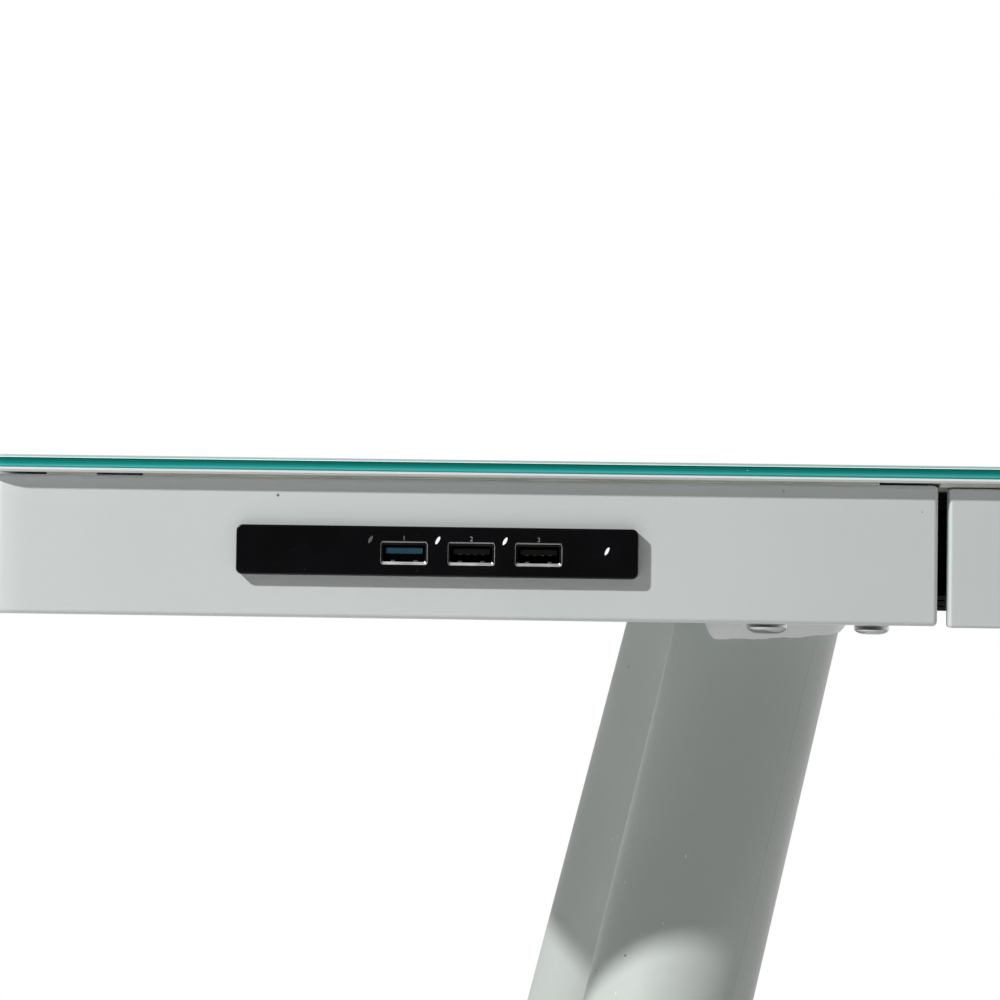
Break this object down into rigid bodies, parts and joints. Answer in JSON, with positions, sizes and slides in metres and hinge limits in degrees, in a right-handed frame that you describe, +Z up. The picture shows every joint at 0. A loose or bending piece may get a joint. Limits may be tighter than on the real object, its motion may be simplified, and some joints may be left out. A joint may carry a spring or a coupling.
{
  "type": "drafting table",
  "caption": "Glass-topped drafting table on splayed round legs, with a wide shallow front drawer on runners and a socket hub set in the front apron.",
  "frame": {"origin": "on the floor, under the middle of the table", "axes": "+X to the right of a person sitting at the drawer, +Y away from that person, +Z up"},
  "size_m": [1.214, 0.61, 0.76],
  "materials": {
    "white_steel": "satin",
    "white_glass": "polished",
    "clear_pad": "satin",
    "black_steel": "satin",
    "charcoal_steel": "matt",
    "bright_steel": "bright",
    "black_plastic": "gloss",
    "black_rubber": "matt",
    "blue_plastic": "satin",
    "green_board": "satin",
    "lamp_plastic": "gloss"
  },
  "bodies": {
    "table_frame": {"glass_top": "white_glass", "glass_pad_left_1": "clear_pad", "glass_pad_left_2": "clear_pad", "glass_pad_left_3": "clear_pad", "glass_pad_right_1": "clear_pad", "glass_pad_right_2": "clear_pad", "glass_pad_right_3": "clear_pad", "left_fascia": "white_steel", "left_side_apron": "white_steel", "left_leg_rail": "white_steel", "left_side_strut": "white_steel", "right_fascia": "white_steel", "right_side_apron": "white_steel", "right_leg_rail": "white_steel", "right_side_strut": "white_steel", "rear_apron": "white_steel", "front_top_rail": "white_steel", "left_runner_cabinet": "black_steel", "right_runner_cabinet": "black_steel", "leg_front_left": "white_steel", "foot_front_left": "black_rubber", "apron_screw_front_left": "bright_steel", "leg_bolt_front_left_front": "bright_steel", "leg_bolt_front_left_rear": "bright_steel", "leg_front_right": "white_steel", "foot_front_right": "black_rubber", "apron_screw_front_right": "bright_steel", "leg_bolt_front_right_front": "bright_steel", "leg_bolt_front_right_rear": "bright_steel", "leg_rear_left": "white_steel", "foot_rear_left": "black_rubber", "apron_screw_rear_left": "bright_steel", "leg_bolt_rear_left_front": "bright_steel", "leg_bolt_rear_left_rear": "bright_steel", "leg_rear_right": "white_steel", "foot_rear_right": "black_rubber", "apron_screw_rear_right": "bright_steel", "leg_bolt_rear_right_front": "bright_steel", "leg_bolt_rear_right_rear": "bright_steel", "hub_bezel": "black_plastic", "hub_rear_cover": "black_plastic", "hub_board": "green_board", "hub_light_guide": "lamp_plastic", "hub_cable_gland": "black_rubber", "hub_screw_left": "bright_steel", "hub_screw_right": "bright_steel", "usb_shell_1": "bright_steel", "usb_tongue_1": "blue_plastic", "usb_shell_2": "bright_steel", "usb_tongue_2": "black_plastic", "usb_shell_3": "bright_steel", "usb_tongue_3": "black_plastic"},
    "drawer": {"drawer_front": "white_steel", "drawer_tray": "charcoal_steel", "drawer_screw_left": "bright_steel", "drawer_screw_right": "bright_steel", "left_runner_drawer": "black_steel", "right_runner_drawer": "black_steel"},
    "runner_middles": {"left_runner_middle": "black_steel", "right_runner_middle": "black_steel"}
  },
  "joints": [
    {"name": "drawer_slide", "type": "slide", "parent": "table_frame", "child": "drawer", "axis": [0, -1, 0], "range_m": [0, 0.3]},
    {"name": "runner_extension", "type": "slide", "parent": "table_frame", "child": "runner_middles", "axis": [0, -1, 0], "range_m": [0, 0.15]}
  ],
  "couplings": [
    {"joint": "runner_extension", "follows": "drawer_slide", "ratio": 0.5}
  ]
}
